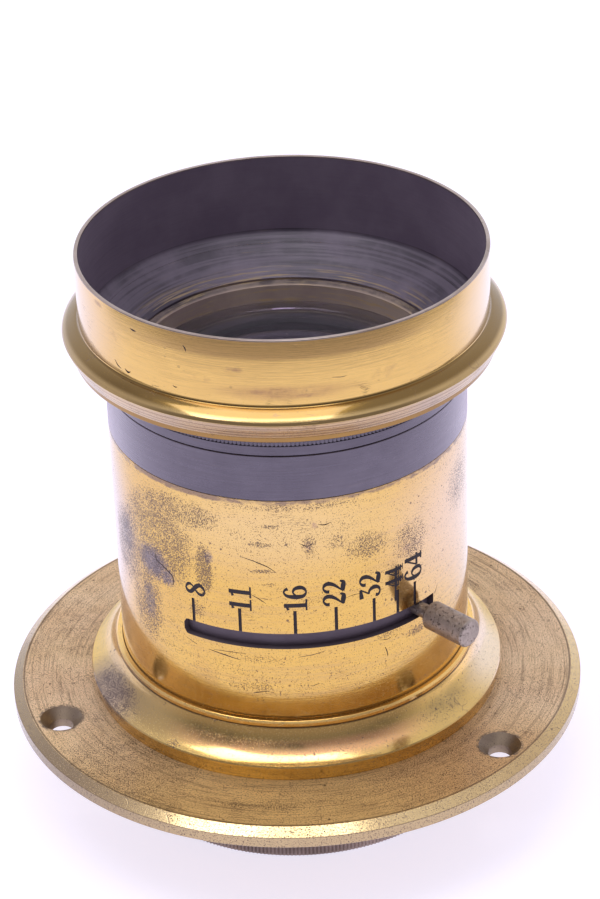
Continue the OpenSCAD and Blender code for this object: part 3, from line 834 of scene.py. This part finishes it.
# ---------------- barrel: slot and scale lines cut out
barrel_outline = [
    (tube_bore_r, barrel_low), (barrel_r, barrel_low, 0.3), (barrel_r, barrel_top, 0.10),
    (iris_bore_r, barrel_top), (iris_bore_r, iris_seat), (tube_bore_r, iris_seat)]
barrel = turned("barrel", barrel_outline, [m_barrel])
steps, slot_end_r = 94, 0.8


def slot_section(i):
    """Slot cross-section, its left end rounded off as the cutter left it."""
    angle = slot_from + (slot_to - slot_from) * i / (steps - 1)
    short = max(0.0, slot_end_r - math.radians(angle - slot_from) * barrel_r)
    trim = slot_end_r - math.sqrt(slot_end_r ** 2 - short ** 2)
    low, high = slot_bottom + trim, slot_top - trim
    return [around(angle, r, z) for r, z in ((27.6, low), (30, low), (30, high), (27.6, high))]


LINE_W, LINE_TALL, LINE_DEPTH = 0.54, 4.35, 0.12
cutters = [block("slot_cutter", [slot_section(i) for i in range(steps)], m_slot_side_shade)]
for _, angle in stops:
    a = math.radians(angle)
    side = Vector((math.cos(a), math.sin(a), 0)) * LINE_W / 2
    inner, outer, low, high = barrel_r - LINE_DEPTH, barrel_r + 0.5, slot_top - 0.3, slot_top + LINE_TALL
    profile = [around(angle, r, z) for r, z in ((inner, low), (outer, low), (outer, high), (inner, high))]
    cutters.append(block("line_cutter", [[tuple(Vector(p) + side * s) for p in profile] for s in (-1, 1)],
                         m_slot_paint))
cut_by(barrel, cutters)
stands_for(barrel, "barrel_tube", "lens")

# ---------------- shoulder ring and flange
neck_r = 33.0               # the shoulder's foot, which the flange screws onto
shoulder_outline = [
    (barrel_r + JOINT_GAP, flange_low), (neck_r, flange_low), (neck_r, flange_top),
    (band_r, flange_top + 0.02), (band_r, flange_top + 2.3, 0.05), (cove_edge_r, flange_top + 2.5, 0.05)]
shoulder_outline += arc(cove_edge_r + 2.53, flange_top + 9.78, 7.53, 249, 200, 24)
shoulder_outline += [(step_r - 0.18, flange_top + 7.3), (step_r, flange_top + 7.42, 0.06),
                     (step_r, step_top - 0.3, 0.15), (step_r - 0.3, step_top, 0.15),
                     (barrel_r + JOINT_GAP, step_top, 0.12)]
shoulder = turned("shoulder", shoulder_outline, [m_shoulder])
stands_for(shoulder, "shoulder_ring", "lens")

flange_outline = [
    (neck_r + 0.05, flange_low), (flange_r, flange_low, 0.2), (flange_r, flange_top - 1.1, 0.12),
    (flange_r - 1.6, flange_top, 0.06), (neck_r + 0.05, flange_top)]
flange = turned("flange", flange_outline, [m_flange, m_flange_edge],
                lambda r, z: 1 if r > flange_r - 1.7 and z > flange_low + 0.05 else 0)
cutters, hole_steps = [], 48
circle = [2 * math.pi * i / hole_steps for i in range(hole_steps)]
for angle in screw_angles:
    x, y, _ = around(angle, screw_circle, 0)
    rings = [[(x + r * math.cos(a), y + r * math.sin(a), z) for a in circle]
             for r, z in ((screw_r, flange_low - 1), (screw_r, flange_top - (sink_r - screw_r)),
                          (sink_r, flange_top), (sink_r + 0.6, flange_top + 0.6))]
    cutters.append(block("hole_cutter", rings, m_hole))
cut_by(flange, cutters)
stands_for(flange, "mounting_flange", "lens")

# ---------------- rear cell and its ring
rear_r, rear_depth, rear_top = r_of["rear_cell"], 0.26, z_of["rear_cell"][1]
rear_outline = [
    (lip_r, 14.85), (lip_r, rear_top), (screwed_r, rear_top), (screwed_r, 9.08), (30.2, 9.08, 0.1),
    (30.2, 6.5), (rear_r - rear_depth, 6.02), (rear_r, 6.0), (rear_r, 0.5), (rear_r - rear_depth, 0.48),
    (30.25, 0, 0.1), (28.2, 0, 0.1), (ring_seat_r, 4.6, 0.1), (ring_seat_r, 8.88), (glass_seat_r, 8.88),
    (glass_seat_r, 14.85)]
rear_cell = turned(
    "rear_cell_body", rear_outline, [m_rear, m_funnel], lambda r, z: 1 if r < 28.1 and z < 8 else 0,
    segments=600, teeth=(0.5, 6.0, rear_depth, rear_r))
stands_for(rear_cell, "rear_cell", "lens")

# ---------------- lever
pin_end, knob_start = 24.6, 31.7
lever_outline = [
    (0, pin_end), (0.9, pin_end, 0.1), (0.9, 28.12), (1.2, 28.12), (1.2, knob_start, 0.1),
    (knob_r - 0.3, knob_start, 0.15), (knob_r, knob_start + 0.35, 0.15), (knob_r, knob_end - 0.25, 0.12),
    (knob_r - 0.25, knob_end, 0.1), (0, knob_end + 0.08)]
lever = turned("lever", lever_outline, [m_lever], segments=96)
spun_to(lever, lever_angle, stop_z)
stands_for(lever, "iris_lever", "iris_ring")

# ---------------- engraved stop numbers
# strokes of (across, up, width), as parts of the figure's height
DIGITS = {
    "1": [[(.28, .05, .20), (.28, .98, .20)], [(.02, .03, .08), (.58, .03, .08)],
          [(.30, .97, .07), (.20, .86, .10), (.06, .80, .12)]],
    "2": [[(.10, .70, .17), (.12, .84, .15), (.28, .96, .08), (.46, .88, .17), (.50, .70, .20),
           (.38, .46, .14), (.16, .22, .08), (.06, .10, .08)],
          [(.04, .09, .10), (.18, .11, .20), (.36, .09, .22), (.50, .09, .16), (.58, .24, .08)]],
    "3": [[(.07, .90, .20), (.30, .92, .17), (.54, .95, .10)], [(.54, .95, .07), (.26, .56, .08)],
          [(.24, .56, .07), (.42, .52, .13), (.53, .32, .21), (.46, .11, .15), (.28, .03, .08),
           (.11, .11, .13), (.12, .24, .17)]],
    "4": [[(.42, .97, .07), (.04, .32, .08)], [(.02, .30, .12), (.62, .30, .12)],
          [(.42, .02, .20), (.42, .98, .20)], [(.24, .04, .09), (.60, .04, .09)]],
    "6": [[(.48, .80, .17), (.44, .90, .12), (.30, .97, .08), (.13, .82, .15), (.07, .48, .22),
           (.11, .16, .17), (.29, .03, .08), (.48, .12, .15), (.54, .31, .20), (.47, .51, .15),
           (.30, .58, .08), (.14, .46, .08)]],
    "8": [[(.30, .97, .08), (.13, .88, .15), (.11, .72, .18), (.28, .56, .19), (.48, .38, .21),
           (.52, .20, .17), (.32, .03, .08), (.12, .10, .13), (.08, .27, .15), (.22, .46, .09),
           (.44, .62, .08), (.49, .80, .14), (.30, .97, .08)]],
}
DIGIT_H, DIGIT_W = 3.75, 0.64
NUMBER_Z = {"8": 49.8, "11": 49.9, "16": 50.2, "22": 50.5, "32": 50.4, "44": 50.5, "64": 50.9}
NUMBER_SHIFT = {"8": 0.9, "11": 0.2, "16": 0.2, "22": -0.5, "32": -1.3, "44": -1.6, "64": -0.6}
NUMBER_SIZE = {"44": 0.84}


def on_barrel(angle, centre_z, half):
    """Places reading direction up the barrel and the tops of the figures towards the left."""
    def place(u, v, out):
        return around(angle - math.degrees((v - half) / barrel_r), barrel_r + out, centre_z + u)
    return place


for text, angle in stops:
    tall = DIGIT_H * NUMBER_SIZE.get(text, 1.0)
    width = DIGIT_W * len(text) * tall
    strokes = []
    for i, figure in enumerate(text):
        start = i * DIGIT_W * tall - width / 2
        strokes += [[(start + u * tall, v * tall, w * tall) for u, v, w in s] for s in DIGITS[figure]]
    if text == "44":      # struck a second time, lightly, and its scale line cut on into it
        strokes += [[(u + 0.12, v - 0.42, w * 0.55) for u, v, w in s] for s in strokes]
        strokes.append([(-4.6, tall * 0.36, 0.42), (1.4, tall * 0.36, 0.30)])
    inlay("figure_" + text, strokes, on_barrel(angle + NUMBER_SHIFT[text], NUMBER_Z[text], tall / 2),
          m_slot_paint, "lens")


# ---------------- scratches and dents, (angle, height, width)
def wall_stroke(radius, *points):
    """Angle-height points turned into lengths round the wall, so that stroke widths stay true."""
    return [(math.radians(a) * radius, z, w) for a, z, w in points]


def along_wall(radius):
    return lambda u, v, out: around(math.degrees(u / radius), radius + out, v)


BARREL_SCRATCHES = [
    [(-48.7, 53.5, .10), (-48.2, 52.2, .20), (-45.5, 51.7, .18), (-43.0, 51.1, .22),
     (-41.2, 50.4, .24), (-41.2, 48.9, .12)], [(-16.6, 57.7, .05), (-12.0, 57.0, .13), (-8.0, 56.2, .05)],
    [(-11.5, 56.8, .05), (-8.0, 56.1, .14), (-5.2, 55.0, .05)],
    [(-13.7, 50.8, .05), (-11.0, 50.0, .15), (-8.9, 49.2, .05)], [(-10.6, 50.2, .04), (-8.2, 50.0, .10)],
    [(-28.6, 38.8, .08), (-23.0, 38.4, .18), (-17.7, 37.9, .05)],
    [(-26.8, 39.0, .05), (-21.0, 39.2, .10), (-16.0, 39.3, .04)],
    [(0.5, 39.0, .05), (5.0, 39.3, .10), (9.0, 39.8, .04)], [(-37.0, 39.8, .04), (-33.0, 39.1, .10)],
    [(29.3, 37.8, .10), (29.9, 36.9, .17), (30.2, 36.0, .08)],
    [(27.5, 39.5, .04), (30.0, 39.2, .10), (31.5, 39.3, .05)], [(33.0, 39.0, .10), (34.2, 39.3, .04)],
    [(35.6, 39.1, .12), (36.6, 38.8, .05)], [(52.4, 44.4, .05), (51.0, 43.2, .11)],
    [(-14.0, 31.8, .10), (-12.0, 32.1, .14), (-9.0, 32.4, .06)],
    [(4.5, 33.2, .05), (6.0, 33.5, .10), (7.0, 33.6, .05)],
    [(8.0, 63.6, .06), (10.0, 63.4, .20), (12.0, 63.7, .06)],
    [(2.0, 60.4, .05), (4.5, 59.8, .16), (6.0, 60.2, .05)],
    [(16.0, 49.2, .03), (19.0, 49.5, .09), (22.0, 49.4, .03)]]
inlay("barrel_scratches", [wall_stroke(barrel_r, *s) for s in BARREL_SCRATCHES], along_wall(barrel_r),
      m_scratch, "lens", lift=0.008)
HOOD_SCRATCHES = [
    [(-45.4, 96.2, .06), (-44.2, 96.1, .32), (-43.2, 96.1, .08)],
    [(-27.8, 96.2, .08), (-27.2, 95.7, .22), (-27.0, 95.2, .05)],
    [(-52.9, 89.2, .06), (-51.6, 88.5, .22), (-50.2, 88.2, .08)],
    [(-48.6, 88.6, .05), (-47.4, 88.2, .34), (-46.2, 88.5, .06)],
    [(-31.6, 88.8, .05), (-30.8, 88.6, .18), (-30.2, 88.7, .05)],
    [(12.0, 91.5, .04), (14.5, 91.3, .10), (16.0, 91.4, .03)]]
inlay("hood_scratches", [wall_stroke(hood_r, *s) for s in HOOD_SCRATCHES], along_wall(hood_r), m_scratch,
      "lens", lift=0.008)

# ---------------- CAD nodes kept, with better materials
for name in ("iris_base_ring", "iris_drive_ring", "iris_cover_ring"):
    nodes[name].data.materials[0] = m_inner
for name in nodes:
    if name.startswith("iris_leaf"):
        nodes[name].data.materials[0] = m_leaf
    if name.endswith("_element"):
        nodes[name].data.materials[0] = m_glass
nodes["rear_retaining_ring"].data.materials[0] = m_worn_ring

# ---------------- floor, world and lights
FLOOR_REACH = 0.205       # pale table top, a softer grey beyond this in front and at the sides


def pale_floor():
    t = Tree("floor_white")
    soft = t.noise(t.xyz, 3.0, 2.0, 0.5)
    front_side = t.step(t.y, 0.02, 0.10, 1.0, 0.0)
    away = t.mul(t.step(t.r, FLOOR_REACH, FLOOR_REACH + 0.006), front_side)
    tint = t.mix(t.step(soft, 0.3, 0.7), (0.40, 0.385, 0.43), (0.42, 0.405, 0.45))
    t.put(t.shader.inputs["Emission Color"], t.mix(away, (0.71, 0.69, 0.80), (0.20, 0.19, 0.21)))
    t.shader.inputs["Emission Strength"].default_value = 1.0
    return t.finish(t.mix(away, tint, (0.22, 0.22, 0.23)), 0.9)


floor_mesh = bpy.data.meshes.new("floor")
floor_mesh.from_pydata([(-1.5, -1.5, 0), (1.5, -1.5, 0), (1.5, 1.5, 0), (-1.5, 1.5, 0)], [], [[0, 1, 2, 3]])
floor = new_object("floor", floor_mesh, [pale_floor()])

world = bpy.data.worlds.new("studio")
scene.world = world
world.use_nodes = True
sky = Graph(world.node_tree)
coords, split = sky.nodes.new("ShaderNodeTexCoord"), sky.nodes.new("ShaderNodeSeparateXYZ")
sky.put(split.inputs[0], coords.outputs["Generated"])
right, behind, up = split.outputs

# white backdrop behind, grey sides, a darker room in front and a light ceiling
dome = sky.mix(sky.step(right, -0.8, 0.8), (0.60, 0.57, 0.64), (0.80, 0.77, 0.83))
dome = sky.mix(sky.step(behind, 0.30, 0.75), dome, (1.0, 0.985, 1.03))
dome = sky.mix(sky.step(behind, -0.55, 0.10, 1.0, 0.0), dome, (0.27, 0.25, 0.28))
dome = sky.mix(sky.step(up, 0.72, 0.90), dome, (0.80, 0.78, 0.84))
sky.put(sky.nodes["Background"].inputs["Color"], dome)


def soft_light(name, position, target, size, power):
    data = bpy.data.lights.new(name, "AREA")
    data.shape, data.energy = "RECTANGLE", power
    data.size, data.size_y = size
    light = bpy.data.objects.new(name, data)
    scene.collection.objects.link(light)
    light.location = position
    light.rotation_euler = (Vector(target) - Vector(position)).to_track_quat("-Z", "Y").to_euler()


soft_light("overhead", (-0.115, -0.09, 0.75), (-0.115, -0.09, 0.0), (0.58, 0.34), 2.3)

scene.view_settings.view_transform = "Standard"
scene.view_settings.look = "None"
